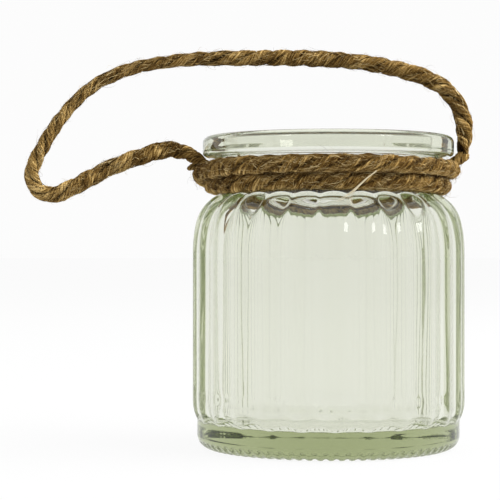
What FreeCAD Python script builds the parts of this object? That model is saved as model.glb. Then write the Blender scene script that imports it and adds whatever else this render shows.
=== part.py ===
import FreeCAD, Part
import math
import os
from collections import namedtuple

import Sketcher
from FreeCAD import Placement, Rotation, Vector

# A ribbed glass lantern jar with a jute rope wound round its neck and a rope carrying handle.
# Millimetres. +Z is up, the origin is the middle of the foot ring, and -Y is the front.

DIMENSIONS = {
    # the glass, from the foot up
    "jar_height": 114.0,
    "foot_recess": 2.2,
    "recess_radius": 36.5,
    "foot_inner": 38.5,
    "heel_corner": 5.2,
    "knurl_radius": 1.0,
    "knurl_drop": 0.1,
    "crest_radius": 49.9,
    "rib_depth": 1.75,
    "rib_arc": 11.0,
    "rib_root": 4.2,
    "rib_foot": 17.5,
    "rib_foot_arc": 14.5,
    "rib_foot_sink": 2.6,
    "rib_head": 37.6,
    "shoulder_start": 72.0,
    "shoulder_arc": 48.0,
    "shoulder_rise": 11.0,
    "collar_arc": 14.0,
    "neck_radius": 38.4,
    "neck_top": 101.0,
    "groove_arc": 5.4,
    "rim_radius": 46.1,
    "rim_lower_arc": 1.7,
    "rim_upper_arc": 2.5,
    # the space inside it
    "floor_height": 9.5,
    "floor_arc": 6.0,
    "wall": 4.7,
    "bore_radius": 35.6,
    "mouth_radius": 38.2,
    "mouth_foot": 107.0,
    "lip_arc": 1.8,
    "over_cut": 2.0,
    # the rope, and its two turns round the neck
    "rope_diameter": 6.0,
    "lower_turn_radius": 41.8,
    "lower_turn_height": 95.6,
    "upper_turn_radius": 45.4,
    "upper_turn_height": 101.8,
    "crossing_radius": 46.3,
    "crossing_height": 99.9,
    "loose_end": 24.0,
    # the flattened ends of the handle, and the glue behind them
    "tail_inner": 39.7,
    "tail_outer": 41.6,
    "tail_bottom": 99.6,
    "tail_top": 103.9,
    "tail_sweep": 26.0,
    "glue_inner": 38.9,
    "glue_outer": 39.6,
    "glue_bottom": 99.7,
    "glue_top": 102.6,
    "glue_sweep": 20.0,
}
RIB_COUNT = 26
KNURL_COUNT = 75
FIRST_RIB = -89.6       # degrees from +X to the crest of the front rib

# Degrees round the neck, from 0 at the left by way of 90 at the front.
WRAP_START = 2.0
CROSSING_START = 320.0
CROSSING_MIDDLE = 360.0
CROSSING_END = 394.0
WRAP_LEAVES = 672.0
CROSSING_SLOPE = 0.12   # rise of the rope per length where it crosses over its own start

# The handle's route, from where it leaves the wrap on the right to where it goes back in on the left:
# up past the rim, over the mouth, down to a tight fold and back to the wrap.
HANDLE_ROUTE = [
    (49.5, 0.0, 106.9),
    (50.3, 0.2, 112.6),
    (50.3, 0.6, 119.6),
    (47.9, 1.0, 126.5),
    (43.3, 1.5, 132.1),
    (36.7, 1.9, 135.9),
    (27.7, 2.3, 138.9),
    (12.5, 2.5, 142.0),
    (-8.0, 2.5, 143.4),
    (-30.5, 2.0, 143.3),
    (-53.0, 1.2, 142.8),
    (-71.5, 0.2, 139.9),
    (-86.5, -0.8, 133.4),
    (-97.5, -1.6, 122.2),
    (-105.2, -2.0, 109.8),
    (-109.6, -2.0, 100.2),
    (-107.0, -1.7, 94.2),
    (-100.9, -1.4, 92.0),
    (-92.5, -1.0, 96.0),
    (-79.5, -0.6, 103.2),
    (-66.5, -0.2, 107.6),
    (-56.5, 0.0, 110.3),
    (-49.5, 0.0, 106.9),
]
BEND_SHARE = 0.45       # of the shorter of a bend's two runs, taken up by its arc

doc = FreeCAD.newDocument("mason_jar_lantern")


# ---------------------------------------------------------------- the sheet

def make_sheet():
    """Write every driving dimension to a spreadsheet, each cell with its alias."""
    sheet = doc.addObject("Spreadsheet::Sheet", "Dimensions")
    for row, (name, value) in enumerate(DIMENSIONS.items(), start=1):
        sheet.set("A%d" % row, name)
        sheet.set("B%d" % row, str(value))
        sheet.setAlias("B%d" % row, name)
    doc.recompute()
    return sheet


SHEET = make_sheet()


def size(name):
    """One dimension, read back from the sheet."""
    return float(getattr(SHEET, name))


def amount(formula):
    """The value of a sum such as "crest_radius - rib_depth"."""
    total = 0.0
    sign = 1
    for word in formula.split():
        if word in "+-":
            sign = 1 if word == "+" else -1
        else:
            total += sign * (size(word) if word in DIMENSIONS else float(word))
    return total


def bound(formula):
    """The same sum as an expression that refers to the sheet's cells."""
    words = ["Dimensions." + word if word in DIMENSIONS else word for word in formula.split()]
    return " ".join(words)


# ---------------------------------------------------------------- bodies and sketches

# A corner of an outline. Its x and y are sums of cells, or a number that a tangent settles.
# With a radius, the edge that ends here is an arc, and side says which way it bulges:
# 1 to the left of the way it is drawn, -1 to the right. smooth makes it run on into the next edge.
Corner = namedtuple("Corner", "x y radius side smooth", defaults=(None, 0, False))


def make_body(label):
    """An empty body with this label."""
    body = doc.addObject("PartDesign::Body", label)
    body.Label = label
    return body


def origin_plane(body, role):
    """One of the body's own origin planes or axes."""
    return next(item for item in body.Origin.OriginFeatures if item.Role == role)


def make_sketch(body, name, plane):
    """A sketch on one of the body's own origin planes."""
    sketch = body.newObject("Sketcher::SketchObject", name)
    sketch.AttachmentSupport = [(origin_plane(body, plane), "")]
    sketch.MapMode = "FlatFace"
    return sketch


def place(value):
    """The number behind a corner's x or y."""
    return amount(value) if isinstance(value, str) else value


def spot(corner):
    """A corner as a point of the sketch."""
    return Vector(place(corner.x), place(corner.y), 0)


def minor_arc(start, end, radius, side):
    """The shorter arc of this radius between two points of a sketch, always anticlockwise."""
    chord = end - start
    half = chord.Length / 2
    sagitta = radius - math.sqrt(max(radius * radius - half * half, 0.0))
    left = Vector(-chord.y, chord.x, 0).normalize()
    crown = (start + end) * 0.5 + left * (side * sagitta)
    return Part.Arc(start, crown, end) if side < 0 else Part.Arc(end, crown, start)


def add_edge(sketch, start, corner):
    """Draw the edge that ends at this corner, and return its number and its two ends' numbers."""
    end = spot(corner)
    if corner.radius is None:
        return sketch.addGeometry(Part.LineSegment(start, end), False), 1, 2
    number = sketch.addGeometry(minor_arc(start, end, amount(corner.radius), corner.side), False)
    backward = (sketch.Geometry[number].StartPoint - start).Length > 1e-6
    bind(sketch, "Radius", (number,), corner.radius)
    return number, 2 if backward else 1, 1 if backward else 2


def bind(sketch, kind, target, formula):
    """Add a dimension to the sketch and tie it to the sheet."""
    number = sketch.addConstraint(Sketcher.Constraint(kind, *target, amount(formula)))
    sketch.setExpression("Constraints[%d]" % number, bound(formula))


def pin_corner(sketch, corner, edge, end):
    """Fix a corner's bound coordinates from the sketch's origin."""
    for kind, value, axis in (("DistanceX", corner.x, -2), ("DistanceY", corner.y, -1)):
        if value == "0":
            sketch.addConstraint(Sketcher.Constraint("PointOnObject", edge, end, axis))
        elif isinstance(value, str):
            bind(sketch, kind, (-1, 1, edge, end), value)


def draw(sketch, corners, closed=True):
    """Draw an outline of lines and arcs through the corners."""
    ends = corners[1:] + corners[:1] if closed else corners[1:]
    edges = [add_edge(sketch, spot(start), corner) for start, corner in zip(corners, ends)]
    links = list(zip(edges, edges[1:] + edges[:1], ends))
    if not closed:
        links.pop()
    for (edge, _, last), (follower, first, _), corner in links:
        kind = "Tangent" if corner.smooth else "Coincident"
        sketch.addConstraint(Sketcher.Constraint(kind, edge, last, follower, first))
    for corner, (edge, first, _) in zip(corners, edges):
        pin_corner(sketch, corner, edge, first)
    if not closed:
        pin_corner(sketch, corners[-1], edges[-1][0], edges[-1][2])


# ---------------------------------------------------------------- the glass jar

def shoulder(side_radius, inset, end_radius):
    """Three corners of the shoulder, on a surface that lies this far inside the ribs' crests."""
    big = amount("shoulder_arc - " + inset)
    small = amount("collar_arc - " + inset)
    knee_height = "shoulder_start + shoulder_rise"
    turn = math.asin(size("shoulder_rise") / big)
    knee_radius = amount(side_radius) - big * (1 - math.cos(turn))
    centre_radius = knee_radius - small * math.cos(turn)
    centre_height = amount(knee_height) - small * math.sin(turn)
    reach = amount(end_radius) - centre_radius
    end_height = centre_height + math.sqrt(small * small - reach * reach)
    return [
        Corner(side_radius, "shoulder_start", smooth=True),
        Corner(knee_radius, knee_height, "shoulder_arc - " + inset, -1, True),
        Corner(end_radius, end_height, "collar_arc - " + inset, -1),
    ]


def turned_body(label, corners):
    """A body made by turning this outline about Z."""
    body = make_body(label)
    outline = make_sketch(body, label + "_outline", "XZ_Plane")
    draw(outline, corners)
    whole = body.newObject("PartDesign::Revolution", label + "_turned")
    whole.Profile = outline
    whole.ReferenceAxis = (origin_plane(body, "Z_Axis"), [""])
    whole.Angle = 360
    doc.recompute()
    return body


def make_core():
    """The jar as one solid lump, without its ribs."""
    heel = "crest_radius - rib_depth"
    return turned_body("glass_core", [
        Corner("0", "foot_recess"),
        Corner("recess_radius", "foot_recess"),
        Corner("foot_inner", "0"),
        Corner(heel + " - heel_corner", "0"),
        Corner(heel, "heel_corner", "heel_corner", -1),
        *shoulder(heel, "rib_depth", "neck_radius"),
        Corner("neck_radius", "neck_top"),
        Corner("neck_radius + groove_arc", "neck_top + groove_arc", "groove_arc", 1),
        Corner("rim_radius - rim_lower_arc", "neck_top + groove_arc"),
        Corner("rim_radius", "neck_top + groove_arc + rim_lower_arc", "rim_lower_arc", -1),
        Corner("rim_radius", "jar_height - rim_upper_arc"),
        Corner("rim_radius - rim_upper_arc", "jar_height", "rim_upper_arc", -1),
        Corner("0", "jar_height"),
    ])


def make_cavity():
    """The space inside the jar, with a rounded floor and a rounded lip."""
    side = "crest_radius - wall"
    return turned_body("glass_cavity", [
        Corner("0", "floor_height"),
        Corner(side + " - floor_arc", "floor_height"),
        Corner(side, "floor_height + floor_arc", "floor_arc", -1),
        *shoulder(side, "wall", "bore_radius"),
        Corner("bore_radius", "neck_top"),
        Corner("mouth_radius", "mouth_foot"),
        Corner("mouth_radius", "jar_height - lip_arc"),
        Corner("mouth_radius + lip_arc", "jar_height", "lip_arc", 1),
        Corner("mouth_radius + lip_arc", "jar_height + over_cut"),
        Corner("0", "jar_height + over_cut"),
    ])


def rib_section(height):
    """The rib's cross-section at this height: a bow, closed by a chord inside the glass."""
    root = size("rib_arc") - size("rib_root")
    half = math.sqrt(size("rib_arc") ** 2 - root ** 2)
    low = Vector(amount("crest_radius - rib_root"), -half, height)
    high = Vector(low.x, half, height)
    crest = Vector(size("crest_radius"), 0, height)
    bow = Part.Arc(low, crest, high).toShape()
    return Part.Face(Part.Wire([bow, Part.LineSegment(high, low).toShape()]))


def rib_shape():
    """One convex rib at +X, from its rounded foot above the heel to the neck."""
    inward = Vector(0, -1, 0)
    crest, foot, start = size("crest_radius"), size("rib_foot"), size("shoulder_start")
    middle = rib_section(foot).extrude(Vector(0, 0, start - foot))

    foot_arc = size("rib_foot_arc")
    foot_turn = math.degrees(math.acos(1 - size("rib_foot_sink") / foot_arc))
    foot_end = rib_section(foot).revolve(Vector(crest - foot_arc, 0, foot), -inward, foot_turn)

    big, small = size("shoulder_arc"), size("collar_arc")
    big_turn = math.asin(size("shoulder_rise") / big)
    big_centre = Vector(crest - big, 0, start)
    bend = rib_section(start).revolve(big_centre, inward, math.degrees(big_turn))

    way = Vector(math.cos(big_turn), 0, math.sin(big_turn))
    small_centre = big_centre + way * (big - small)
    small_turn = math.acos((size("rib_head") - small_centre.x) / small) - big_turn
    knee = rib_section(start)
    knee.rotate(big_centre, inward, math.degrees(big_turn))
    head = knee.revolve(small_centre, inward, math.degrees(small_turn))
    return middle.multiFuse([foot_end, bend, head]).removeSplitter()


def make_ribs():
    """The ribs, evenly round the jar, each its own object."""
    shape = rib_shape()
    ribs = []
    for number in range(RIB_COUNT):
        rib = doc.addObject("Part::Feature", "rib_%02d" % (number + 1))
        rib.Shape = shape
        turn = FIRST_RIB + 360 * number / RIB_COUNT
        rib.Placement = Placement(Vector(), Rotation(Vector(0, 0, 1), turn))
        ribs.append(rib)
    return ribs


def make_knurls():
    """Round bars lying across the foot ring, whose grooves leave short flat lands to stand on."""
    bars = []
    for number in range(KNURL_COUNT):
        bar = doc.addObject("Part::Cylinder", "knurl_%02d" % (number + 1))
        bar.setExpression("Radius", "Dimensions.knurl_radius")
        bar.setExpression("Height", "Dimensions.crest_radius - Dimensions.recess_radius")
        around = Rotation(Vector(0, 0, 1), 360 * (number + 0.5) / KNURL_COUNT)
        start = Vector(size("recess_radius") - size("over_cut"), 0, -size("knurl_drop"))
        lying = around * Rotation(Vector(0, 1, 0), 90)
        bar.Placement = Placement(around.multVec(start), lying)
        bars.append(bar)
    return bars


def make_jar():
    """The glass jar: a ribbed lump, less its inside and the grooves in its foot."""
    lump = doc.addObject("Part::MultiFuse", "glass_lump")
    lump.Shapes = [make_core(), *make_ribs()]
    lump.Refine = True
    cutters = doc.addObject("Part::Compound", "glass_cutters")
    cutters.Links = [make_cavity(), *make_knurls()]
    jar = doc.addObject("Part::Cut", "glass_jar")
    jar.Base = lump
    jar.Tool = cutters
    jar.Label = "glass_jar"
    doc.recompute()
    print("glass volume, cm3: lump %.1f, jar %.1f"
          % (lump.Shape.Volume / 1000, jar.Shape.Volume / 1000))
    return jar


# ---------------------------------------------------------------- ropes

def bend(start, corner, end):
    """An arc from start to end, tangent to the lines that meet at the corner."""
    middle = (start + end) * 0.5
    half = (end - start).Length / 2
    turn = 2 * math.acos(min(half / (corner - start).Length, 1.0))
    outward = (corner - middle).normalize()
    return Part.Arc(start, middle + outward * (half * math.tan(turn / 4)), end)


def two_bends(start, start_way, end, end_way):
    """Two arcs, tangent to each other, that join two points with the given directions."""
    gap = end - start
    ways = start_way + end_way
    share = 2 * (1 - start_way.dot(end_way))
    along = gap.dot(ways)
    reach = (math.sqrt(along * along + share * gap.dot(gap)) - along) / share
    first = start + start_way * reach
    second = end - end_way * reach
    joint = (first + second) * 0.5
    return [bend(start, first, joint), bend(joint, second, end)]


def ring_point(turn, radius, height):
    """A point round the neck, from 0 degrees at the left by way of 90 at the front."""
    angle = math.radians(turn)
    return Vector(-radius * math.cos(angle), -radius * math.sin(angle), height)


def ring_way(turn):
    """The direction of travel round the neck at this turn."""
    angle = math.radians(turn)
    return Vector(math.sin(angle), -math.cos(angle), 0)


def ring_arcs(first, last, radius, height):
    """A level stretch round the neck, as two arcs."""
    turns = [first + (last - first) * step / 4 for step in range(5)]
    points = [ring_point(turn, radius, height) for turn in turns]
    return [Part.Arc(*points[0:3]), Part.Arc(*points[2:5])]


def make_tube(label, curves, round_ends=False):
    """A rope as a round tube along these curves, with the path kept as its own object."""
    path = doc.addObject("Part::Feature", label + "_path")
    path.Shape = Part.Wire([curve.toShape() for curve in curves])
    start = path.Shape.OrderedVertexes[0].Point
    way = curves[0].tangent(curves[0].FirstParameter)[0]
    section = doc.addObject("Part::Circle", label + "_section")
    section.setExpression("Radius", "Dimensions.rope_diameter / 2")
    section.Placement = Placement(start, Rotation(Vector(0, 0, 1), way))
    tube = doc.addObject("Part::Sweep", label + "_tube")
    tube.Sections = [section]
    tube.Spine = (path, ["Edge%d" % (number + 1) for number in range(len(curves))])
    tube.Solid = True
    doc.recompute()
    expected = math.pi * (size("rope_diameter") / 2) ** 2 * path.Shape.Length
    print("%s: length %.1f mm, volume %.0f of %.0f mm3"
          % (label, path.Shape.Length, tube.Shape.Volume, expected))
    if round_ends:
        return add_round_ends(label, tube, path)
    tube.Label = label
    return tube


def add_round_ends(label, tube, path):
    """Close both ends of a tube with a ball of its own diameter."""
    parts = [tube]
    for name, vertex in (("_first", path.Shape.OrderedVertexes[0]),
                         ("_last", path.Shape.OrderedVertexes[-1])):
        ball = doc.addObject("Part::Sphere", label + name)
        ball.setExpression("Radius", "Dimensions.rope_diameter / 2")
        ball.Placement = Placement(vertex.Point, Rotation())
        parts.append(ball)
    whole = doc.addObject("Part::MultiFuse", label)
    whole.Shapes = parts
    whole.Label = label
    doc.recompute()
    return whole


def make_wrap():
    """The rope wound twice round the neck, crossing over its own start at the left."""
    low = (size("lower_turn_radius"), size("lower_turn_height"))
    high = (size("upper_turn_radius"), size("upper_turn_height"))
    crossing = (size("crossing_radius"), size("crossing_height"))
    rising = (ring_way(CROSSING_MIDDLE) + Vector(0, 0, CROSSING_SLOPE)).normalize()
    middle = ring_point(CROSSING_MIDDLE, *crossing)
    leaves = ring_point(WRAP_LEAVES, *high)
    curves = [
        *ring_arcs(WRAP_START, CROSSING_START, *low),
        *two_bends(ring_point(CROSSING_START, *low), ring_way(CROSSING_START), middle, rising),
        *two_bends(middle, rising, ring_point(CROSSING_END, *high), ring_way(CROSSING_END)),
        *ring_arcs(CROSSING_END, WRAP_LEAVES, *high),
        Part.LineSegment(leaves, leaves + ring_way(WRAP_LEAVES) * size("loose_end")),
    ]
    return make_tube("neck_wrap", curves)


def make_handle():
    """The free span of the carrying rope, along straight runs joined by tangent arcs."""
    points = [Vector(*point) for point in HANDLE_ROUTE]
    runs = [end - start for start, end in zip(points, points[1:])]
    curves = []
    radii = []
    last = points[0]
    for corner, before, after in zip(points[1:-1], runs, runs[1:]):
        trim = BEND_SHARE * min(before.Length, after.Length)
        start = corner - before * (trim / before.Length)
        end = corner + after * (trim / after.Length)
        curves.append(Part.LineSegment(last, start))
        curves.append(bend(start, corner, end))
        radii.append(trim / math.tan(before.getAngle(after) / 2))
        last = end
    curves.append(Part.LineSegment(last, points[-1]))
    print("handle bend radii, mm:", [round(radius, 1) for radius in radii])
    return make_tube("rope_handle", curves, round_ends=True)


# ---------------------------------------------------------------- hidden ends and glue

def make_band(label, kind, turn):
    """A flat band in the neck groove, part of the way round it, at the left or the right."""
    body = make_body(label)
    corners = [
        Corner(kind + "_inner", kind + "_bottom"),
        Corner(kind + "_outer", kind + "_bottom"),
        Corner(kind + "_outer", kind + "_top"),
        Corner(kind + "_inner", kind + "_top"),
    ]
    outline = make_sketch(body, label + "_outline", "XZ_Plane")
    draw(outline, corners)
    band = body.newObject("PartDesign::Revolution", label + "_band")
    band.Profile = outline
    band.ReferenceAxis = (origin_plane(body, "Z_Axis"), [""])
    band.Midplane = True
    band.setExpression("Angle", "Dimensions.%s_sweep" % kind)
    body.Placement = Placement(Vector(), Rotation(Vector(0, 0, 1), turn))
    doc.recompute()
    return body


# ---------------------------------------------------------------- the whole lantern

def check(nodes):
    """Stop if any object failed, or if a sub-part is not one sound solid."""
    for item in doc.Objects:
        if "Invalid" in item.State or "Error" in item.State:
            raise RuntimeError("%s failed: %s" % (item.Label, item.State))
    for node in nodes:
        shape = node.Shape
        if shape.isNull() or not shape.isValid() or len(shape.Solids) != 1:
            raise RuntimeError("%s is not one sound solid" % node.Label)


def main():
    """Build every sub-part, check it and write its STEP file."""
    nodes = [make_jar(), make_wrap(), make_handle()]
    for side, turn in (("left", 180), ("right", 0)):
        nodes.append(make_band("handle_tail_" + side, "tail", turn))
        nodes.append(make_band("glue_film_" + side, "glue", turn))
    doc.recompute()
    check(nodes)
    os.makedirs("parts", exist_ok=True)
    for node in nodes:
        box = node.Shape.BoundBox
        print("%-18s %8.2f cm3  x %.1f %.1f  y %.1f %.1f  z %.1f %.1f"
              % (node.Label, node.Shape.Volume / 1000, box.XMin, box.XMax,
                 box.YMin, box.YMax, box.ZMin, box.ZMax))
        node.Shape.exportStep("parts/%s.step" % node.Label)


main()
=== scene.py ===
import math

import bpy
import numpy as np
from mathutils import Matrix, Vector


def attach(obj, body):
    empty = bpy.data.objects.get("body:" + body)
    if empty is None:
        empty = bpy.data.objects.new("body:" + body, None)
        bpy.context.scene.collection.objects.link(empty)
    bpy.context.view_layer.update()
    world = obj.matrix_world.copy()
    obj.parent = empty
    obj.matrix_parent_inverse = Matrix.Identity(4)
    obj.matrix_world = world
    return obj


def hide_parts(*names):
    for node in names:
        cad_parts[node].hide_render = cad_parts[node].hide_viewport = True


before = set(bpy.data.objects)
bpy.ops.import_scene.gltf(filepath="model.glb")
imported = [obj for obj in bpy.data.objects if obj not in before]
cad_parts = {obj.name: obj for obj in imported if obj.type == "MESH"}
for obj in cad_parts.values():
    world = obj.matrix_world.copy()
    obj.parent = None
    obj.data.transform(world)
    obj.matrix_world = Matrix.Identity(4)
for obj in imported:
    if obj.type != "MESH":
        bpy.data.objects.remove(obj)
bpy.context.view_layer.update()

MM = 0.001


# ---------------------------------------------------------------- camera

def make_camera():
    """A level camera at the object's middle height, looking along +Y."""
    data = bpy.data.cameras.new("camera")
    data.sensor_width = 36
    data.lens = 123.26
    data.clip_start = 0.01
    data.clip_end = 20
    camera = bpy.data.objects.new("camera", data)
    camera.location = (-0.0287, -0.63, 0.0724)
    camera.rotation_euler = (math.radians(90), 0, 0)
    bpy.context.scene.collection.objects.link(camera)
    bpy.context.scene.camera = camera


make_camera()

# The carrying rope's route: the same points as the tube's, in millimetres.
HANDLE_ROUTE = [
    (49.5, 0.0, 106.9), (50.3, 0.2, 112.6), (50.3, 0.6, 119.6), (47.9, 1.0, 126.5),
    (43.3, 1.5, 132.1), (36.7, 1.9, 135.9), (27.7, 2.3, 138.9), (12.5, 2.5, 142.0),
    (-8.0, 2.5, 143.4), (-30.5, 2.0, 143.3), (-53.0, 1.2, 142.8), (-71.5, 0.2, 139.9),
    (-86.5, -0.8, 133.4), (-97.5, -1.6, 122.2), (-105.2, -2.0, 109.8), (-109.6, -2.0, 100.2),
    (-107.0, -1.7, 94.2), (-100.9, -1.4, 92.0), (-92.5, -1.0, 96.0), (-79.5, -0.6, 103.2),
    (-66.5, -0.2, 107.6), (-56.5, 0.0, 110.3), (-49.5, 0.0, 106.9),
]
ROPE_RADIUS = 3.0


# ---------------------------------------------------------------- lines and noise

def nurbs_line(name, points, order):
    """The points of a smooth spline with these control points, in millimetres."""
    curve = bpy.data.curves.new(name, "CURVE")
    curve.dimensions = "3D"
    spline = curve.splines.new("NURBS")
    spline.points.add(len(points) - 1)
    for control, point in zip(spline.points, points):
        control.co = (*point, 1)
    spline.order_u = order
    spline.use_endpoint_u = True
    spline.resolution_u = 32
    holder = bpy.data.objects.new(name, curve)
    bpy.context.scene.collection.objects.link(holder)
    bpy.context.view_layer.update()
    mesh = bpy.data.meshes.new_from_object(holder)
    line = np.array([vertex.co for vertex in mesh.vertices], float)
    bpy.data.objects.remove(holder)
    bpy.data.curves.remove(curve)
    bpy.data.meshes.remove(mesh)
    return line


def lengths(line):
    """The distance travelled at each point of a line."""
    steps = np.linalg.norm(np.diff(line, axis=0), axis=1)
    return np.concatenate([[0], np.cumsum(steps)])


def resample(line, step):
    """The same line with evenly spaced points."""
    travelled = lengths(line)
    count = max(int(round(travelled[-1] / step)), 4) + 1
    at = np.linspace(0, travelled[-1], count)
    return np.stack([np.interp(at, travelled, line[:, axis]) for axis in range(3)], axis=1)


def unit(vectors):
    """Each vector scaled to length one."""
    return vectors / np.maximum(np.linalg.norm(vectors, axis=-1, keepdims=True), 1e-9)


def carried_frames(line, first):
    """Tangents, and two normals that don't twist along the line."""
    tangents = unit(np.gradient(line, axis=0))
    normals = np.zeros_like(line)
    normal = np.array(first, float)
    for index, tangent in enumerate(tangents):
        normal = normal - tangent * (normal @ tangent)
        normal = normal / np.linalg.norm(normal)
        normals[index] = normal
    return tangents, normals, np.cross(tangents, normals)


def wander(at, wavelength, rng, waves=5):
    """Smooth noise along a length, about -1 to 1."""
    total = np.zeros_like(at, dtype=float)
    for _ in range(waves):
        share = rng.uniform(0.6, 1.7)
        total += np.sin(2 * math.pi * at / (wavelength * share) + rng.uniform(0, 2 * math.pi))
    return total / math.sqrt(waves) * 0.9


# ---------------------------------------------------------------- meshes

def make_object(name, vertices, faces, smooth=True):
    """A mesh object from points in millimetres."""
    mesh = bpy.data.meshes.new(name)
    mesh.from_pydata((np.asarray(vertices) * MM).tolist(), [], [tuple(face) for face in faces])
    mesh.update()
    if smooth:
        mesh.shade_smooth()
    made = bpy.data.objects.new(name, mesh)
    bpy.context.scene.collection.objects.link(made)
    return made


def grid_faces(rows, columns, offset=0, flip=False):
    """Quads joining rows of points, each row closed on itself."""
    row = np.arange(rows - 1)[:, None]
    column = np.arange(columns)[None, :]
    following = (column + 1) % columns
    if flip:
        column, following = following, column
    quads = np.stack([
        row * columns + column,
        row * columns + following,
        (row + 1) * columns + following,
        (row + 1) * columns + column,
    ], axis=-1).reshape(-1, 4) + offset
    return quads.tolist()


def add_attribute(made, name, values):
    """Store a number or a vector at every point, for the materials."""
    values = np.asarray(values, np.float32)
    if values.ndim == 1:
        layer = made.data.attributes.new(name, "FLOAT", "POINT")
        layer.data.foreach_set("value", values)
    else:
        layer = made.data.attributes.new(name, "FLOAT_VECTOR", "POINT")
        layer.data.foreach_set("vector", values.ravel())


# ---------------------------------------------------------------- the glass

RIBS = 26
KNURLS = 75
FIRST_RIB = math.radians(-89.6)      # the rib nearest to the front

# The outside, in millimetres.
RIM_RADIUS = 46.1
RIM_TOP = 114.0
RIM_FOOT = 106.4
RIM_UPPER_ARC = 2.5
RIM_LOWER_ARC = 1.7
LIP_RADIUS = 38.6
LIP_ARC = 1.8
GROOVE_ARC = 5.4
NECK_RADIUS = 38.4
COLLAR_ARC = 14.0
SHOULDER_ARC = 48.0
SHOULDER_RISE = 11.0
SHOULDER_START = 72.0
CREST_RADIUS = 49.9              # out to the ribs' crests
RIB_ARC = 11.0                   # the radius of a rib's bowed section
VALLEY_ROUNDING = 2.9            # half the width of the soft valley between two ribs
HEAD_ROUNDING = 1.0              # the same on the collar, where the ribs' heads are
HEAD_START = math.radians(65)    # how far above level the collar faces where the heads begin
HEAD_ARC = 4.6
HEAD_DROP = 1.60                 # the plain collar above the heads lies this far behind the crests
FOOT_START = 17.5                # the height where the ribs begin to sink towards their feet
FOOT_ARC = 14.5
BAND_RADIUS = 48.15              # the plain band below the ribs' feet
HEEL_CORNER = 5.2
FOOT_INNER = 38.5
RECESS_RADIUS = 36.5
RECESS_HEIGHT = 2.2
KNURL_RADIUS = 1.0               # the grooves that cross the foot
KNURL_DROP = 0.1
KNURL_END = 34.6                 # the radius where they run out inside the recess
FLUTE_RADIUS = 46.0              # the grooves' shallow ends on the heel
FLUTE_HALF_WIDTH = 1.45
FLUTE_DEPTH = 0.24
FLUTE_TOP = 3.6
FLUTE_FADE = 1.3

# The inside.
WALL = 4.7
INNER_RADIUS = CREST_RADIUS - WALL
FLOOR_HEIGHT = 9.5
FLOOR_MIDDLE = 9.3               # the floor dips a little towards its middle
FLOOR_ARC = 6.0
BORE_RADIUS = 35.6
INNER_COLLAR = (34.92, 80.09)    # the middle of the inner collar's arc
WAVINESS = 0.085                 # how uneven the pressed inner wall is
CHILL_HEIGHT = 19.5              # a band of finer waves just above the floor
CHILL_WAVINESS = 0.08


def arc_points(centre, radius, first, last, count):
    """Points of an arc in the (r, z) plane, between two directions in degrees."""
    angles = np.radians(np.linspace(first, last, count))
    return np.asarray(centre) + radius * np.stack([np.cos(angles), np.sin(angles)], axis=1)


def smooth_max(a, b, width):
    """The larger of two numbers, rounded off where they cross."""
    gap = np.maximum(width - np.abs(a - b), 0) / width
    return np.maximum(a, b) + gap * gap * width / 4


def eased(points, reach, step):
    """A profile with its changes of bend spread over this length on either side, fading out at its ends."""
    grid = 0.25
    points = np.array(points, float)
    steps = np.linalg.norm(np.diff(points, axis=0), axis=1)
    travelled = np.concatenate([[0], np.cumsum(steps)])
    at = np.arange(0, travelled[-1], grid)
    raw = np.stack([np.interp(at, travelled, points[:, axis]) for axis in range(2)], axis=1)
    spread = np.exp(-0.5 * (np.arange(-3 * reach, 3 * reach + 0.1, grid) / reach) ** 2)
    spread /= spread.sum()
    edge = len(spread) // 2
    smooth = raw.copy()
    for axis in range(2):
        smooth[edge:-edge, axis] = np.convolve(raw[:, axis], spread, mode="valid")[:len(raw) - 2 * edge]
    from_end = np.minimum(at, at[-1] - at)
    weight = np.clip(from_end / (3 * reach) - 1, 0, 1)[:, None]
    weight = weight * weight * (3 - 2 * weight)
    return (raw + (smooth - raw) * weight)[::round(step / grid)]


def plain_rings(angles, profile):
    """Round rings, one for each point of a profile."""
    return [(np.full_like(angles, radius), np.full_like(angles, height)) for radius, height in profile]


def rib_depth(turn, radius, rounding):
    """How far the surface lies behind a rib's crest: a bow that eases into a rounded valley."""
    half = radius * math.sin(math.pi / RIBS)
    across = radius * np.sin(np.abs(turn))
    edge = half - rounding
    slope = edge / math.sqrt(RIB_ARC ** 2 - edge * edge)
    bow = RIB_ARC - np.sqrt(RIB_ARC ** 2 - np.minimum(across, edge) ** 2)
    past = np.maximum(across - edge, 0)
    return bow + slope * (past - past * past / (2 * rounding))


def rim_profile():
    """From the lip over the rim, through the groove under it and down the neck."""
    return [
        *arc_points((LIP_RADIUS + LIP_ARC, RIM_TOP - LIP_ARC), LIP_ARC, 180, 90, 8),
        (41.4, RIM_TOP), (42.5, RIM_TOP),
        *arc_points((RIM_RADIUS - RIM_UPPER_ARC, RIM_TOP - RIM_UPPER_ARC), RIM_UPPER_ARC, 90, 0, 12),
        (RIM_RADIUS, 110.3), (RIM_RADIUS, 109.2),
        *arc_points((RIM_RADIUS - RIM_LOWER_ARC, RIM_FOOT + RIM_LOWER_ARC), RIM_LOWER_ARC, 0, -90, 9),
        *arc_points((NECK_RADIUS + GROOVE_ARC, RIM_FOOT - GROOVE_ARC), GROOVE_ARC, 90, 180, 14),
        *[(NECK_RADIUS, height) for height in np.linspace(100.0, 95.4, 4)],
    ]


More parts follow.
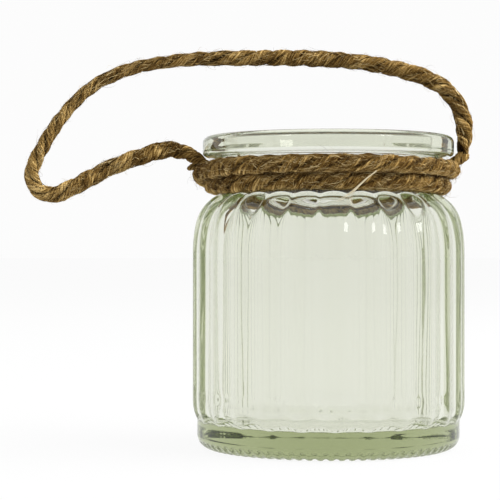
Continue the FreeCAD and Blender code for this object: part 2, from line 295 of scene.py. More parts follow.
def shoulder_profile():
    """From the top of the collar over the shoulder to the upright wall, along a rib's crest."""
    lean = math.asin(SHOULDER_RISE / SHOULDER_ARC)
    large = (CREST_RADIUS - SHOULDER_ARC, SHOULDER_START)
    small = (large[0] + (SHOULDER_ARC - COLLAR_ARC) * math.cos(lean),
             SHOULDER_START + SHOULDER_RISE * (1 - COLLAR_ARC / SHOULDER_ARC))
    profile = [
        *arc_points(small, COLLAR_ARC, 105, math.degrees(lean), 60),
        *arc_points(large, SHOULDER_ARC, math.degrees(lean), 0, 30)[1:],
        (CREST_RADIUS, 71.0), (CREST_RADIUS, 56.0),
    ]
    return eased(profile, 1.5, 0.5)[8:]


def shoulder_rings(turn):
    """The collar and the shoulder, where the ribs begin at their rounded heads."""
    profile = shoulder_profile()
    rings = []
    for (radius, height), (along_r, along_z) in zip(profile, unit(np.gradient(profile, axis=0))):
        out, up = -along_z, along_r
        lean = math.atan2(up, out)
        rounding = VALLEY_ROUNDING - (VALLEY_ROUNDING - HEAD_ROUNDING) * min(max(lean, 0) / 0.6, 1)
        past = min(max(lean - HEAD_START, 0) * COLLAR_ARC, HEAD_ARC - 0.1)
        depth = rib_depth(turn, radius, rounding) + HEAD_ARC - math.sqrt(HEAD_ARC ** 2 - past ** 2)
        depth = -smooth_max(-depth, -HEAD_DROP, 0.40)
        rings.append((smooth_max(radius - depth * out, NECK_RADIUS, 1.6), height - depth * up))
    return rings


def wall_rings(angles, turn):
    """The upright ribs, and their feet sinking into the plain band below them."""
    rings = []
    for height in [*np.linspace(54, 19, 5), *np.linspace(FOOT_START, 4.6, 40)]:
        below = max(FOOT_START - height, 0.0)
        sink = FOOT_ARC - math.sqrt(FOOT_ARC ** 2 - below ** 2)
        rib = CREST_RADIUS - sink - rib_depth(turn, CREST_RADIUS, VALLEY_ROUNDING)
        band = BAND_RADIUS
        if height < HEEL_CORNER:
            band += math.sqrt(HEEL_CORNER ** 2 - (HEEL_CORNER - height) ** 2) - HEEL_CORNER
        rings.append((smooth_max(rib, band, 0.35), np.full_like(angles, height)))
    return rings


def groove_turn(angles):
    """The angle from the middle of the nearest groove across the foot."""
    pitch = 2 * math.pi / KNURLS
    return angles % pitch - pitch / 2


def heel_rings(angles):
    """The heel's rounded corner, with the grooves' shallow ends running up it."""
    across = FLUTE_RADIUS * np.sin(groove_turn(angles))
    flutes = FLUTE_DEPTH * np.maximum(1 - (across / FLUTE_HALF_WIDTH) ** 2, 0)
    rings = []
    for angle in np.radians(np.linspace(-8, -90, 30)):
        lower = np.clip((FLUTE_TOP - HEEL_CORNER * (1 + math.sin(angle))) / FLUTE_FADE, 0, 1)
        bend = HEEL_CORNER - flutes * lower * lower * (3 - 2 * lower)
        radii = BAND_RADIUS - HEEL_CORNER + bend * math.cos(angle)
        rings.append((radii, HEEL_CORNER + bend * math.sin(angle)))
    return rings


def foot_profile():
    """The foot ring's flat face and the hollow inside it."""
    return [
        *[(radius, 0.0) for radius in (42.2, 41.4, 40.4, 39.4, FOOT_INNER)],
        (37.9, 0.66), (37.2, 1.43), (RECESS_RADIUS, RECESS_HEIGHT),
        *[(radius, RECESS_HEIGHT) for radius in (30.0, 20.0, 8.0)],
    ]


def cut_knurls(angles, radii, heights):
    """Raise the foot's points into the grooves that cross it."""
    across = radii * np.sin(groove_turn(angles))
    groove = np.sqrt(np.maximum(KNURL_RADIUS ** 2 - across * across, 0.0)) - KNURL_DROP
    inner = np.clip((radii - KNURL_END) / 1.2, 0, 1)
    return np.where(radii > KNURL_END, np.maximum(heights, groove * inner), heights)


def outside_rings(angles):
    """The jar's outer surface from the lip to the foot, one ring of points per row."""
    pitch = 2 * math.pi / RIBS
    turn = (angles - FIRST_RIB + pitch / 2) % pitch - pitch / 2
    rings = plain_rings(angles, rim_profile())
    rings += shoulder_rings(turn)
    rings += wall_rings(angles, turn)
    for radii, heights in heel_rings(angles) + plain_rings(angles, foot_profile()):
        if heights.max() < 3:
            heights = cut_knurls(angles, radii, heights)
        rings.append((radii, heights))
    return rings


def ring_noise(angles, low, high, waves, rng):
    """Smooth noise round a ring, in whole waves so that it closes on itself."""
    total = np.zeros_like(angles)
    for _ in range(waves):
        count = rng.integers(low, high)
        total += np.sin(count * angles + rng.uniform(0, 2 * math.pi)) * rng.uniform(0.3, 1.0)
    return total / math.sqrt(waves)


def inner_wall_profile():
    """The inner wall from just above the floor's corner to the neck."""
    large = (CREST_RADIUS - SHOULDER_ARC, SHOULDER_START)
    shoulder = [
        (INNER_RADIUS, 61.0), (INNER_RADIUS, SHOULDER_START),
        *arc_points(large, SHOULDER_ARC - WALL, 0, 13.25, 10),
        *arc_points(INNER_COLLAR, COLLAR_ARC - WALL, 14.5, 84, 14),
        (BORE_RADIUS, 91.0), (BORE_RADIUS, 104.0),
    ]
    return [
        *[(INNER_RADIUS, height) for height in np.linspace(16.0, 23.0, 14)],
        *[(INNER_RADIUS, height) for height in np.linspace(25.5, 60, 13)],
        *eased(shoulder, 2.4, 1.0)[:-7],
    ]


def inside_rings(angles):
    """The jar's inner surface from the middle of the floor up to the lip, uneven as pressed glass is."""
    rng = np.random.default_rng(11)
    drawn = ring_noise(angles, 6, 34, 9, rng)
    other = ring_noise(angles, 9, 48, 9, rng)
    chill = ring_noise(angles, 30, 95, 14, rng)
    rings = plain_rings(angles, [
        (8.0, FLOOR_MIDDLE), (18.0, 9.35), (28.0, 9.45), (34.5, FLOOR_HEIGHT),
        *arc_points((INNER_RADIUS - FLOOR_ARC, FLOOR_HEIGHT + FLOOR_ARC), FLOOR_ARC, -90, -8, 14),
    ])
    for radius, height in inner_wall_profile():
        mark = math.exp(-((height - CHILL_HEIGHT) / 1.9) ** 2)
        mix = 0.5 + 0.5 * math.sin(height * 0.075)
        wave = WAVINESS * (mix * drawn + (1 - mix) * other) + CHILL_WAVINESS * mark * chill
        rings.append((radius + wave, np.full_like(angles, height)))
    rings += plain_rings(angles, [
        (BORE_RADIUS, 98.6), (35.62, 100.2), (35.85, 101.4), (36.6, 103.3), (37.5, 105.6), (37.8, 106.8),
        (38.0, 107.8), (38.3, 109.5), (38.55, 111.2),
    ])
    return rings


def make_glass():
    """The ribbed jar as one closed, finely divided skin."""
    columns = RIBS * 32
    angles = FIRST_RIB + 2 * math.pi * np.arange(columns) / columns
    outer = outside_rings(angles)
    inner = inside_rings(angles)
    points = [np.stack([radii * np.cos(angles), radii * np.sin(angles), heights], axis=1)
              for radii, heights in outer + inner]
    points.append(np.array([[0, 0, RECESS_HEIGHT], [0, 0, FLOOR_MIDDLE]]))
    faces = grid_faces(len(outer), columns, 0, True)
    faces += grid_faces(len(inner), columns, len(outer) * columns, True)
    under = (len(outer) - 1) * columns
    floor = len(outer) * columns
    mouth = (len(outer) + len(inner) - 1) * columns
    middle = mouth + columns
    for column in range(columns):
        following = (column + 1) % columns
        faces.append((mouth + following, mouth + column, column, following))
        faces.append((under + following, under + column, middle))
        faces.append((floor + column, floor + following, middle + 1))
    return make_object("glass_body", np.concatenate(points), faces)


# ---------------------------------------------------------------- the rope

STRANDS = 3
STRAND_REACH = 0.52    # a strand's middle, as a share of the rope's radius
STRAND_SIZE = 0.505    # a strand's radius, as a share of the rope's
YARNS = 4              # in each strand
YARN_LAY = 17.0        # the length of one turn of the yarns
AROUND = 30            # points round a strand
ROPE_STEP = 0.5        # between two rings of points
RIDGE_RELIEF = 0.115   # how proud the yarns stand, as a share of a strand's radius
ROUGH_RELIEF = 0.026   # the same for the fibres on them
STRAND_SHIFT = 97.0    # keeps the noise on one strand from repeating on the next
FIBRE_POINTS = 6
FIBRE_GAP = 4.0        # no fibre starts nearer than this to a rope's end
SHORTEST_FIBRE = 1.2
HIGHEST_LIFT = 3.6     # how far a loose fibre may stand off
BRIDGING = 0.18        # the share of fibres that cross the clefts
END_FADE = 30.0        # fibres stand off less within this distance of an end


class Rope:
    """A rope's middle line, its untwisted frame, its radius and how its strands lie round it."""

    def __init__(self, line, first_normal, phase, lay, seed, girth):
        rng = np.random.default_rng(seed)
        self.line = resample(line, ROPE_STEP)
        self.at = lengths(self.line)
        _, self.normals, self.sides = carried_frames(self.line, first_normal)
        self.radius = ROPE_RADIUS * girth(self.at / self.at[-1])
        slip = 1.6 * wander(self.at, 70, rng) + 0.5 * wander(self.at, 19, rng)
        turn = phase - 2 * math.pi * (self.at + slip) / lay
        self.angles = [turn + strand * 2 * math.pi / STRANDS + 0.14 * wander(self.at, 26, rng)
                       for strand in range(STRANDS)]


def strand_rings(rope, angle, rng):
    """Rings of points round one strand, the length along it, and its yarns' turn, ridges and roughness."""
    at, radius = rope.at, rope.radius
    reach = radius * (STRAND_REACH + 0.035 * wander(at, 21, rng))
    thick = radius * (STRAND_SIZE + rng.uniform(-0.025, 0.025) + 0.038 * wander(at, 17, rng))
    out = rope.normals * np.cos(angle)[:, None] + rope.sides * np.sin(angle)[:, None]
    middle = rope.line + out * reach[:, None]
    ways = unit(np.gradient(middle, axis=0))
    out = unit(out - ways * np.sum(out * ways, axis=1, keepdims=True))
    side = np.cross(ways, out)
    travelled = lengths(middle)
    v = np.linspace(0, 2 * math.pi, AROUND, endpoint=False)[None, :]
    yarn = v + 2 * math.pi * travelled[:, None] / YARN_LAY + 0.30 * wander(at, 13, rng)[:, None]
    ridges = np.abs(np.cos(yarn * YARNS / 2)) ** 0.6
    rough = np.zeros_like(yarn)
    for _ in range(12):
        waves = rng.integers(4, 13)
        drift = travelled[:, None] * rng.uniform(-1.1, 1.1)
        rough += np.sin(waves * yarn + drift + rng.uniform(0, 2 * math.pi))
    relief = RIDGE_RELIEF * (ridges - 0.65) + ROUGH_RELIEF * rough
    squash = 1 + 0.10 * np.cos(2 * v)
    ring_radius = thick[:, None] * (1 + relief) / squash
    ring = (middle[:, None, :]
            + out[:, None, :] * (ring_radius * np.cos(v))[:, :, None]
            + side[:, None, :] * (ring_radius * np.sin(v))[:, :, None])
    return ring, travelled, yarn, ridges, rough


def painted_light_facing_in(rope, ring):
    """How much painted light each point of a strand on the neck gets, by how much it faces the glass or
    faces down.
    """
    radius = rope.radius[:, None]
    outward = unit(rope.line * np.array([1, 1, 0]))[:, None, :]
    inward = np.clip(-np.sum((ring - rope.line[:, None, :]) * outward, axis=2) / radius, 0, 1)
    under = np.clip((rope.line[:, None, 2] - ring[:, :, 2]) / radius - 0.45, 0, 0.5)
    return np.maximum(inward, 1.3 * under)


def strand_tone(rope, ring, yarn, ridges, rough, spots, rng):
    """How light the jute is at each point of a strand: by its yarns, painted shade in the grooves between
    its yarns and fibres, and these spots.
    """
    tone = np.zeros_like(yarn)
    number = np.floor(yarn * 2.0 / math.pi + 0.5) % YARNS
    for index in range(YARNS):
        level = 0.75 * wander(rope.at, 30, rng) + rng.uniform(-0.6, 0.6)
        tone += np.where(number == index, level[:, None], 0)
    # Painted shade: the yarns' crests and raised fibres are lighter, the grooves between them darker.
    tone = 0.5 + 0.24 * tone + 0.15 * (ridges - 0.6) + 0.07 * rough + rng.uniform(-0.15, 0.15)
    for spot, size, amount in spots:
        gap = np.linalg.norm(ring - np.array(spot), axis=2)
        tone -= amount * np.exp(-(gap / size) ** 2)
    return tone


def laid_rope(name, rope, rng, spots=(), paint_neck_light=False):
    """Three strands laid left-handed round a line, each with its yarns showing.

    Each spot is a place, a size and how much darker the jute is there.
    On the neck, painted light makes the sides that face the glass or face down lighter, and weakens the
    painted shade in their clefts.
    """
    count = len(rope.line)
    vertices, faces, fibres, tones, cleft_shade_depths = [], [], [], [], []
    for strand, angle in enumerate(rope.angles):
        ring, travelled, yarn, ridges, rough = strand_rings(rope, angle, rng)
        tone = strand_tone(rope, ring, yarn, ridges, rough, spots, rng)
        inward = painted_light_facing_in(rope, ring) if paint_neck_light else np.zeros_like(yarn)
        distance = np.linalg.norm(ring - rope.line[:, None, :], axis=2)
        start = strand * count * AROUND
        last = start + (count - 1) * AROUND
        vertices.append(ring.reshape(-1, 3))
        faces += grid_faces(count, AROUND, start)
        faces.append(tuple(range(start + AROUND - 1, start - 1, -1)))
        faces.append(tuple(range(last, last + AROUND)))
        # Painted light on the neck: sides that face the glass or face down are made lighter, and their
        # painted cleft shade weaker.
        tones.append((tone + 0.9 * inward).ravel())
        cleft_shade_depths.append((distance / rope.radius[:, None] + 0.3 * inward).ravel())
        along = np.broadcast_to(travelled[:, None], yarn.shape) + STRAND_SHIFT * strand
        fibre = np.stack([along, 1.5 * np.cos(yarn), 1.5 * np.sin(yarn)], axis=-1)
        fibres.append(fibre.reshape(-1, 3))
    made = make_object(name, np.concatenate(vertices), faces)
    add_attribute(made, "fibre", np.concatenate(fibres))
    add_attribute(made, "tone", np.concatenate(tones))
    # The proud attribute sets the painted shade that the jute material puts in the clefts.
    add_attribute(made, "proud", np.concatenate(cleft_shade_depths))
    return made


def hair_mesh(name, paths, widths, tones):
    """Fine fibres along these paths, as thin three-sided tubes that taper to a fifth of their width."""
    count, steps, _ = paths.shape
    tangent = unit(np.gradient(paths, axis=1))
    a = unit(np.cross(tangent, np.array([0.31, 0.52, 0.79])))
    b = np.cross(tangent, a)
    taper = 1 - 0.8 * np.linspace(0, 1, steps)[None, :, None] ** 2
    width = widths[:, None, None] * taper
    corners = []
    for corner in range(3):
        angle = 2 * math.pi * corner / 3
        corners.append(paths + width * (a * math.cos(angle) + b * math.sin(angle)))
    vertices = np.stack(corners, axis=2).reshape(-1, 3)
    base = (np.arange(count) * steps * 3)[:, None]
    faces = []
    for step in range(steps - 1):
        for corner in range(3):
            following = (corner + 1) % 3
            quad = np.array([step * 3 + corner, step * 3 + following,
                             (step + 1) * 3 + following, (step + 1) * 3 + corner])
            faces.append(base + quad[None, :])
    made = make_object(name, vertices, np.concatenate(faces).tolist())
    add_attribute(made, "tone", np.repeat(tones, steps * 3))
    return made


def strand_surface(rope, along, around):
    """How far out the strands' surface is at these places, as a share of the rope's radius."""
    surface = np.full_like(along, 0.5)
    for angles in rope.angles:
        gap = around - np.interp(along, rope.at, angles)
        room = STRAND_REACH ** 2 - (STRAND_REACH * np.sin(gap)) ** 2
        reach = STRAND_REACH * np.cos(gap) + np.sqrt(np.maximum(room, 0))
        surface = np.maximum(surface, np.where(np.cos(gap) > 0, reach, 0))
    return surface


def rope_places(rope, along, around, out):
    """Points at these lengths along a rope, turns round it and distances from its middle line."""
    line, at = rope.line, rope.at
    place = along / at[-1] * (len(at) - 1)
    low = np.minimum(place.astype(int), len(at) - 2)
    share = (place - low)[:, :, None]
    middle = line[low] * (1 - share) + line[low + 1] * share
    normal = rope.normals[low] * (1 - share) + rope.normals[low + 1] * share
    side = rope.sides[low] * (1 - share) + rope.sides[low + 1] * share
    way = normal * np.cos(around)[:, :, None] + side * np.sin(around)[:, :, None]
    return middle + way * out[:, :, None]


def rope_fuzz(name, rope, lying, loose, rng, hidden=None):
    """Fibres that lie on a rope's strands or across its clefts, and others that stand off it."""
    at = rope.at
    wanted = lying + loose
    count = wanted * 3
    t = np.linspace(0, 1, FIBRE_POINTS)[None, :]
    start = rng.uniform(FIBRE_GAP, at[-1] - FIBRE_GAP, count)
    angle = rng.uniform(0, 2 * math.pi, count)
    if hidden is not None:
        row = np.clip(np.searchsorted(at, start), 0, len(at) - 1)
        facing = rope.normals[row] * np.cos(angle)[:, None] + rope.sides[row] * np.sin(angle)[:, None]
        shown = ~hidden(rope.line[row], facing)
        start, angle = start[shown], angle[shown]
    start, angle = start[:wanted], angle[:wanted]
    flat = np.arange(wanted) < lying
    heading = rng.normal(0, np.where(flat, 0.30, 0.85))
    forward = np.where(rng.random(wanted) < 0.5, 1.0, -1.0)
    span = np.where(flat, rng.gamma(4.0, 1.0, wanted), rng.gamma(2.6, 1.25, wanted)) + SHORTEST_FIBRE
    curl = np.clip(rng.normal(0, np.where(flat, 0.08, 0.25)), -0.4, 0.4)
    wave = rng.normal(0, 0.05, wanted)
    lying_lift = rng.uniform(0.02, 0.16, wanted)
    loose_lift = np.minimum(rng.gamma(1.3, 0.55, wanted), HIGHEST_LIFT)
    lift = np.where(flat, lying_lift, loose_lift)
    lift = lift * np.clip(np.minimum(start, at[-1] - start) / END_FADE, 0.25, 1)
    bridge = np.where(rng.random(wanted) < BRIDGING, 0.9, 0.1)[:, None]
    bow = np.where(flat[:, None], np.sin(math.pi * t), 1 - (1 - t) ** 2)
    along = start[:, None] + (forward * span * np.cos(heading))[:, None] * t
    along = np.clip(along, 0.3, at[-1] - 0.3)
    swing = (span * np.sin(heading))[:, None] * t + (span * curl)[:, None] * t * t
    swing += (span * wave)[:, None] * np.sin(9 * t)
    around = angle[:, None] + swing / ROPE_RADIUS
    surface = strand_surface(rope, along, around)
    level = surface * (1 - bridge) + np.maximum(surface, 0.98) * bridge - 0.03
    out = np.interp(along, at, rope.radius) * level + lift[:, None] * bow
    widths = np.where(flat, rng.gamma(3.0, 0.022, wanted) + 0.022, rng.uniform(0.022, 0.045, wanted))
    paths = rope_places(rope, along, around, out)
    return hair_mesh(name, paths, widths, rng.uniform(0, 1, wanted))


LOW_TURN_RADIUS = 41.8
LOW_TURN_HEIGHT = 95.75
LOW_TURN_RISE = 0.8       # how much higher it lies at the front
HIGH_TURN_RADIUS = 45.1
HIGH_TURN_HEIGHT = 101.65
HIGH_TURN_RISE = 0.6
SWELL = 1.0115            # the spline runs this much inside control points 15 degrees apart


def wrap_point(degrees, radius, height):
    """A point round the neck, from 0 degrees at the left by way of 90 at the front."""
    angle = math.radians(degrees)
    return (-radius * math.cos(angle), -radius * math.sin(angle), height)


def wrap_turn(directions, radius, height, rise):
    """Control points of a turn that lies a little higher at the front."""
    controls = []
    for degrees in directions:
        front = max(math.sin(math.radians(degrees)), 0)
        controls.append(wrap_point(degrees, radius * SWELL, height + rise * front * front))
    return controls


def wrap_line():
    """The wrap's route: a low turn, a climb over its start, a high turn and its cut end."""
    controls = wrap_turn(range(2, 318, 15), LOW_TURN_RADIUS, LOW_TURN_HEIGHT, LOW_TURN_RISE)
    for degrees, radius, height in ((326, 42.9, 96.2), (338, 44.9, 97.6), (351, 46.3, 99.2),
                                    (364, 46.7, 100.3), (378, 46.0, 101.2)):
        controls.append(wrap_point(degrees, radius * SWELL, height))
    controls += wrap_turn(range(393, 670, 15), HIGH_TURN_RADIUS, HIGH_TURN_HEIGHT, HIGH_TURN_RISE)
    leave = np.array(wrap_point(670, 45.5, 101.9))
    way = np.array([math.sin(math.radians(672)), -math.cos(math.radians(672)), 0.03])
    for distance in (2, 10, 18, 26):
        controls.append(tuple(leave + way * distance))
    return nurbs_line("wrap_route", controls, 4)


# ---------------------------------------------------------------- materials

def new_material(name):
    """An empty node material and its tree, shader and output."""
    material = bpy.data.materials.new(name)
    material.use_nodes = True
    tree = material.node_tree
    return material, tree, tree.nodes["Principled BSDF"], tree.nodes["Material Output"]


def noise_node(tree, vector, stretch, detail, roughness=0.5):
    """Noise over a stretched vector."""
    mapping = tree.nodes.new("ShaderNodeMapping")
    mapping.inputs["Scale"].default_value = stretch
    tree.links.new(vector, mapping.inputs["Vector"])
    noise = tree.nodes.new("ShaderNodeTexNoise")
    noise.inputs["Scale"].default_value = 1.0
    noise.inputs["Detail"].default_value = detail
    noise.inputs["Roughness"].default_value = roughness
    tree.links.new(mapping.outputs[0], noise.inputs["Vector"])
    return noise.outputs[0]


def bump_node(tree, shader, height, strength, distance):
    """Bump from a height, fed to the shader."""
    bump = tree.nodes.new("ShaderNodeBump")
    bump.inputs["Strength"].default_value = strength
    bump.inputs["Distance"].default_value = distance
    tree.links.new(height, bump.inputs["Height"])
    tree.links.new(bump.outputs[0], shader.inputs["Normal"])


def object_place(tree):
    """The socket with a point's place on its object."""
    return tree.nodes.new("ShaderNodeTexCoord").outputs["Object"]


def glass_material():
    """Clear pressed glass with a faint olive cast that deepens with thickness."""
    material, tree, shader, output = new_material("jar_glass")
    shader.inputs["Base Color"].default_value = (0.902, 0.908, 0.868, 1)
    shader.inputs["Roughness"].default_value = 0.0
    shader.inputs["IOR"].default_value = 1.5
    shader.inputs["Transmission Weight"].default_value = 1.0
    absorb = tree.nodes.new("ShaderNodeVolumeAbsorption")
    absorb.inputs["Color"].default_value = (0.633, 0.680, 0.427, 1)
    absorb.inputs["Density"].default_value = 28.0
    tree.links.new(absorb.outputs[0], output.inputs["Volume"])
    waves = noise_node(tree, object_place(tree), (160, 160, 30), 2.0)
    bump_node(tree, shader, waves, 0.04, 0.001)
    return material


def ramp_node(tree, stops):
    """A colour ramp with these (position, colour) stops."""
    ramp = tree.nodes.new("ShaderNodeValToRGB")
    elements = ramp.color_ramp.elements
    while len(elements) < len(stops):
        elements.new(0.5)
    for element, (position, colour) in zip(elements, stops):
        element.position = position
        element.color = (*colour, 1)
    return ramp


def attribute_socket(tree, name, output="Fac"):
    """A socket that reads a value stored on the mesh."""
    node = tree.nodes.new("ShaderNodeAttribute")
    node.attribute_name = name
    return node.outputs[output]


def math_node(tree, kind, first, second):
    """One operation on two values, each a socket or a number."""
    node = tree.nodes.new("ShaderNodeMath")
    node.operation = kind
    for socket, value in zip(node.inputs, (first, second)):
        if isinstance(value, (int, float)):
            socket.default_value = value
        else:
            tree.links.new(value, socket)
    return node.outputs[0]


JUTE_STOPS = [
    (0.10, (0.018, 0.008, 0.002)),
    (0.34, (0.070, 0.035, 0.008)),
    (0.52, (0.178, 0.101, 0.026)),
    (0.68, (0.375, 0.232, 0.070)),
    (0.90, (0.780, 0.550, 0.225)),
]


def jute_material(name, bright):
    """Jute strands: streaks along the yarns, light and dark yarns, and painted shade that darkens the
    clefts between strands.
    """
    material, tree, shader, _ = new_material(name)
    fibre = attribute_socket(tree, "fibre", "Vector")
    streak = noise_node(tree, fibre, (0.30, 3.6, 3.6), 4.0, 0.68)
    fine = noise_node(tree, fibre, (0.85, 9.0, 9.0), 2.0)
    patch = noise_node(tree, object_place(tree), (110, 110, 110), 3.0, 0.6)
    mixed = math_node(tree, "MULTIPLY", streak, 1.75)
    mixed = math_node(tree, "ADD", mixed, math_node(tree, "MULTIPLY", fine, 0.70))
    mixed = math_node(tree, "ADD", mixed, math_node(tree, "MULTIPLY", patch, 0.80))
    tone = attribute_socket(tree, "tone")
    mixed = math_node(tree, "ADD", mixed, math_node(tree, "MULTIPLY", tone, 0.50))
    mixed = math_node(tree, "SUBTRACT", mixed, 1.40)
    stops = [(stop, tuple(bright * part for part in colour)) for stop, colour in JUTE_STOPS]
    ramp = ramp_node(tree, stops)
    tree.links.new(mixed, ramp.inputs["Fac"])
    # Painted shade: points that lie deep between the strands are darkened, as shade falls there.
    cleft = tree.nodes.new("ShaderNodeMapRange")
    cleft.interpolation_type = "SMOOTHSTEP"
    cleft.inputs["From Min"].default_value = 0.60
    cleft.inputs["From Max"].default_value = 0.98
    cleft.inputs["To Min"].default_value = 0.03
    cleft.inputs["To Max"].default_value = 1.0
    tree.links.new(attribute_socket(tree, "proud"), cleft.inputs["Value"])
    paint_cleft_shade = tree.nodes.new("ShaderNodeMix")
    paint_cleft_shade.data_type = "RGBA"
    paint_cleft_shade.blend_type = "MULTIPLY"
    paint_cleft_shade.inputs["Factor"].default_value = 1.0
    tree.links.new(ramp.outputs["Color"], paint_cleft_shade.inputs["A"])
    tree.links.new(cleft.outputs[0], paint_cleft_shade.inputs["B"])
    tree.links.new(paint_cleft_shade.outputs["Result"], shader.inputs["Base Color"])
    shader.inputs["Roughness"].default_value = 0.90
    shader.inputs["Specular IOR Level"].default_value = 0.05
    bump_node(tree, shader, streak, 1.0, 0.0005)
    return material


def hair_material(name, stops):
    """Single fibres, each its own shade."""
    material, tree, shader, _ = new_material(name)
    ramp = ramp_node(tree, stops)
    tree.links.new(attribute_socket(tree, "tone"), ramp.inputs["Fac"])
    tree.links.new(ramp.outputs["Color"], shader.inputs["Base Color"])
    shader.inputs["Roughness"].default_value = 0.75
    shader.inputs["Specular IOR Level"].default_value = 0.12
    return material


def glue_material():
    """Milky hot-melt glue."""
    material, tree, shader, _ = new_material("glue")
    mottle = noise_node(tree, object_place(tree), (400, 400, 400), 2.0)
    ramp = ramp_node(tree, [(0.3, (0.62, 0.58, 0.45)), (0.7, (0.80, 0.77, 0.66))])
    tree.links.new(mottle, ramp.inputs["Fac"])
    tree.links.new(ramp.outputs["Color"], shader.inputs["Base Color"])
    shader.inputs["Roughness"].default_value = 0.35
    return material


def finish_piece(made, material, body, slot, *nodes):
    """Give a piece its material and its body, and hide the nodes it stands for. The slot is not used."""
    made.data.materials.clear()
    made.data.materials.append(material)
    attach(made, body)
    if nodes:
        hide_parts(*nodes)


# ---------------------------------------------------------------- the pieces

jute = jute_material("jute", 1.0)
# A darker copy of the jute, painted shade for the core behind the wrap's turns and the wrap's cut end.
shade_painted_jute = jute_material("jute_with_painted_shade", 0.75)
hair = hair_material("jute_fibre", [
    (0.0, (0.040, 0.019, 0.004)),
    (0.45, (0.150, 0.084, 0.021)),
    (0.75, (0.350, 0.228, 0.080)),
    (1.0, (0.740, 0.580, 0.290)),
])
pale = hair_material("pale_fibre", [(0.0, (0.62, 0.53, 0.34)), (1.0, (0.86, 0.80, 0.62))])

finish_piece(make_glass(), glass_material(), "jar", "glass", "glass_jar")


def wrap_girth(share):
    """The wrap's rope is a little uneven."""
    return 1.04 + 0.03 * np.sin(61 * share) + 0.03 * np.sin(23 * share + 1.3)


def inner_side(middle, facing):
    """True where a fibre on the wrap would point at the neck."""
    outward = unit(middle * np.array([1, 1, 0]))
    return np.sum(outward * facing, axis=1) < -0.25


# Darker patches on the wrap; the one at its left, where the two turns meet, is painted shade.
WRAP_SPOTS = [((26.8, -38.5, 95.4), 1.7, 0.9), ((30.2, -36.0, 94.6), 1.3, 0.6),
              ((34.5, -34.5, 104.2), 1.1, 1.0), ((-38.0, -22.0, 98.4), 2.2, 0.5)]
route = wrap_line()
wrap_rope = Rope(route, (0, 0, 1), 0.4, 26.0, 4, wrap_girth)
# The wrap gets painted light on its sides that face the neck or face down.
wrap = laid_rope("wrap_strands", wrap_rope, np.random.default_rng(5), WRAP_SPOTS, True)
finish_piece(wrap, jute, "jar", "wrap_rope", "neck_wrap")

for name, seed, lying, loose in (("wrap_fibres_low", 6, 6000, 600),
                                 ("wrap_fibres_high", 17, 4200, 1700)):
    fuzz = rope_fuzz(name, wrap_rope, lying, loose, np.random.default_rng(seed), inner_side)
    finish_piece(fuzz, hair, "jar", "wrap_rope")


def core_girth(share):
    """A thin rope that fills the gap behind the wrap's two turns."""
    return np.full_like(share, 0.52)


core_line = resample(np.array([wrap_point(degrees, 40.8, 99.6) for degrees in range(-85, 273, 3)]), 1.0)
core_rope = Rope(core_line, (0, 0, 1), 0.0, 18.0, 27, core_girth)
core = laid_rope("wrap_core", core_rope, np.random.default_rng(27))
finish_piece(core, shade_painted_jute, "jar", "wrap_rope")

# The handle's thickness: shares of its length, and its width there as a share of the rope's.
GIRTH_AT = [0, 0.015, 0.035, 0.08, 0.16, 0.36, 0.44, 0.50, 0.66, 0.73, 0.77, 0.84, 0.965, 0.985, 1]
GIRTHS = [0.60, 0.84, 1.03, 1.05, 1.00, 0.97, 0.86, 0.76, 0.76, 0.88, 0.98, 1.02, 1.05, 0.94, 0.82]


def handle_girth(share):
    """The handle is thin at its upper left and draws in at both ends."""
    return np.interp(share, GIRTH_AT, GIRTHS) * (1 + 0.025 * np.sin(47 * share + 0.6))


span = nurbs_line("handle_route", HANDLE_ROUTE, 3)
handle_rope = Rope(span, (0, -1, 0), 1.1, 22.5, 7, handle_girth)
# Painted light and shade on the handle: a broad lighter patch over its far left loop where light falls, a
# small lighter spot, and darker patches of painted shade where its ends come down near the rim.
HANDLE_LIGHT_AND_SHADE_SPOTS = [((-108.0, -2.0, 102.0), 24.0, -0.32), ((-61.5, -3.0, 108.6), 1.8, -0.8),
                ((-55.0, -3.0, 109.6), 2.6, 0.9), ((48.6, -1.5, 109.0), 2.0, 0.8)]
handle = laid_rope("handle_strands", handle_rope, np.random.default_rng(8), HANDLE_LIGHT_AND_SHADE_SPOTS)
finish_piece(handle, jute, "handle", "handle_rope", "rope_handle")
handle_hair = rope_fuzz("handle_fibres", handle_rope, 4400, 900, np.random.default_rng(9))
finish_piece(handle_hair, hair, "handle", "handle_rope")


def root_girth(share):
    """A handle's end, rolled over at the pivot and squeezed where it goes in under the rim."""
    return np.interp(share, [0, 0.07, 0.16, 0.28, 0.45, 1], [0.30, 0.58, 0.80, 0.80, 0.70, 0.42])


for side, name, seed in ((-1, "left", 21), (1, "right", 22)):
    controls = [(side * 51.7, 0.0, 107.1), (side * 50.6, 0.0, 106.9), (side * 49.1, -0.1, 106.6),
                (side * 47.5, -0.4, 105.5), (side * 45.5, -1.0, 104.1),
                (side * 43.4, -1.8, 103.0), (side * 41.0, -2.6, 102.4)]
    line = nurbs_line("root_route", controls, 3)
    root_rope = Rope(line, (0, -1, 0), 0.3, 14.0, seed, root_girth)
    root = laid_rope("handle_root_" + name, root_rope, np.random.default_rng(seed))
    finish_piece(root, jute, "jar", "handle_tail", "handle_tail_" + name)


def nub_girth(share):
    """The wrap's cut end, frayed to a blunt tip."""
    return np.interp(share, [0, 0.7, 1], [0.42, 0.44, 0.26])


NUB_ROUTE = [(-45.0, -6.5, 102.6), (-47.5, -6.6, 103.0), (-49.6, -6.0, 102.8), (-51.3, -5.2, 102.0)]
nub_line = nurbs_line("nub_route", NUB_ROUTE, 3)
nub_rope = Rope(nub_line, (0, -1, 0), 0.9, 12.0, 23, nub_girth)
nub = laid_rope("wrap_end", nub_rope, np.random.default_rng(23))
finish_piece(nub, shade_painted_jute, "jar", "wrap_rope")


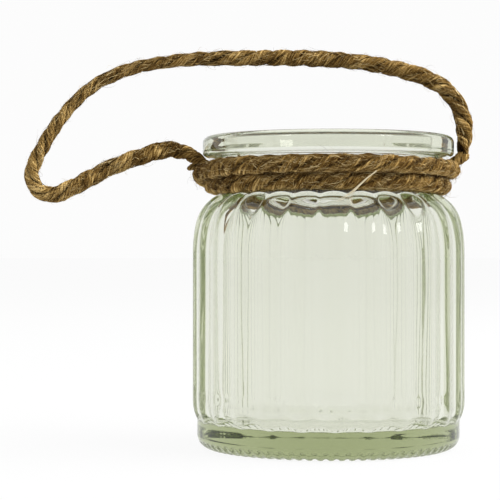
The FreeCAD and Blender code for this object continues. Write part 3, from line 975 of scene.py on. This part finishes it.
def stray_bundle():
    """A pale tuft that hangs over the wrap's front, and a single fibre over the rim's left end."""
    rng = np.random.default_rng(31)
    # Each point is how far right it lies, its height and its distance from the jar's axis.
    heads = [(14.4, 99.4, 46.9), (11.4, 97.2, 46.8), (9.0, 95.0, 46.4), (6.7, 92.8, 46.2)]
    left = heads + [(4.2, 91.0, 46.4), (1.2, 89.1, 47.0)]
    right = heads + [(5.4, 90.4, 46.6), (5.7, 88.0, 47.3)]
    paths, widths = [], []
    for number in range(11):
        stem = np.array(left if number % 2 else right)
        stem[:, 0] += rng.normal(0, 0.16) + np.linspace(0, 1, 6) * rng.normal(0, 0.8)
        stem[:, 1] += rng.normal(0, 0.16) + np.linspace(0, 1, 6) * rng.normal(0, 0.5)
        stem[:, 2] += rng.uniform(0, 0.3)
        paths.append(stem)
        widths.append(rng.uniform(0.09, 0.17))
    paths.append(np.array([(-45.3, 111.0, 46.6), (-44.7, 109.6, 46.8), (-44.1, 108.3, 47.0),
                           (-43.6, 107.0, 47.0), (-43.2, 106.0, 47.1), (-42.6, 104.9, 47.4)]))
    widths.append(0.06)
    flat = np.array(paths)
    depth = -np.sqrt(flat[:, :, 2] ** 2 - flat[:, :, 0] ** 2)
    lines = np.stack([flat[:, :, 0], depth, flat[:, :, 1]], axis=-1)
    return hair_mesh("stray_fibres", lines, np.array(widths), rng.uniform(0, 1, len(widths)))


finish_piece(stray_bundle(), pale, "jar", "wrap_rope")

glue = glue_material()
for name in ("glue_film_left", "glue_film_right"):
    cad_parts[name].data.materials.clear()
    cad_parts[name].data.materials.append(glue)


# ---------------------------------------------------------------- floor and light

def make_floor():
    """A plain pale floor."""
    bpy.ops.mesh.primitive_plane_add(size=30, location=(0, 0, 0))
    floor = bpy.context.object
    floor.name = "floor"
    material, _, shader, _ = new_material("floor")
    shader.inputs["Base Color"].default_value = (0.05, 0.05, 0.05, 1)
    shader.inputs["Roughness"].default_value = 0.95
    shader.inputs["Specular IOR Level"].default_value = 0.0
    shader.inputs["Emission Color"].default_value = (1, 1, 1, 1)
    shader.inputs["Emission Strength"].default_value = 0.915
    floor.data.materials.append(material)


def make_world():
    """Soft light from all round, dimmer in front of the object."""
    world = bpy.data.worlds.new("world")
    bpy.context.scene.world = world
    world.use_nodes = True
    tree = world.node_tree
    background = tree.nodes["Background"]
    coordinates = tree.nodes.new("ShaderNodeTexCoord")
    parts = tree.nodes.new("ShaderNodeSeparateXYZ")
    spread = tree.nodes.new("ShaderNodeMapRange")
    spread.interpolation_type = "SMOOTHSTEP"
    spread.inputs["From Min"].default_value = -1.0
    spread.inputs["From Max"].default_value = -0.55
    spread.inputs["To Min"].default_value = 0.62
    spread.inputs["To Max"].default_value = 0.975
    tree.links.new(coordinates.outputs["Generated"], parts.inputs[0])
    tree.links.new(parts.outputs["Y"], spread.inputs["Value"])
    tree.links.new(spread.outputs[0], background.inputs["Color"])
    background.inputs["Strength"].default_value = 1.0


def add_light(name, place, target, size, power, glossy=True):
    """A soft oblong light aimed at a point, hidden from rays that go through the glass."""
    data = bpy.data.lights.new(name, "AREA")
    data.shape = "RECTANGLE"
    data.size, data.size_y = size
    data.energy = power
    light = bpy.data.objects.new(name, data)
    light.location = place
    way = Vector(target) - Vector(place)
    light.rotation_euler = way.to_track_quat("-Z", "Y").to_euler()
    light.visible_transmission = False
    light.visible_glossy = glossy
    bpy.context.scene.collection.objects.link(light)


make_floor()
make_world()
add_light("key", (1.40, -0.70, 1.20), (0, 0, 0.08), (1.2, 1.2), 27.0, False)
add_light("side", (1.10, 0.15, 0.90), (0, 0, 0.09), (0.8, 0.8), 14.0, False)
add_light("glint", (0.86, -0.73, 0.44), (0, 0, 0.08), (0.30, 0.16), 0.9)
add_light("top", (0.1, 0.3, 1.5), (0, 0, 0.1), (1.6, 1.4), 6.0)
bpy.context.scene.view_settings.view_transform = "Standard"

# Light meets the ribbed walls many times before it leaves the glass.
paths = bpy.context.scene.cycles
paths.max_bounces = 40
paths.transmission_bounces = 40
paths.glossy_bounces = 24
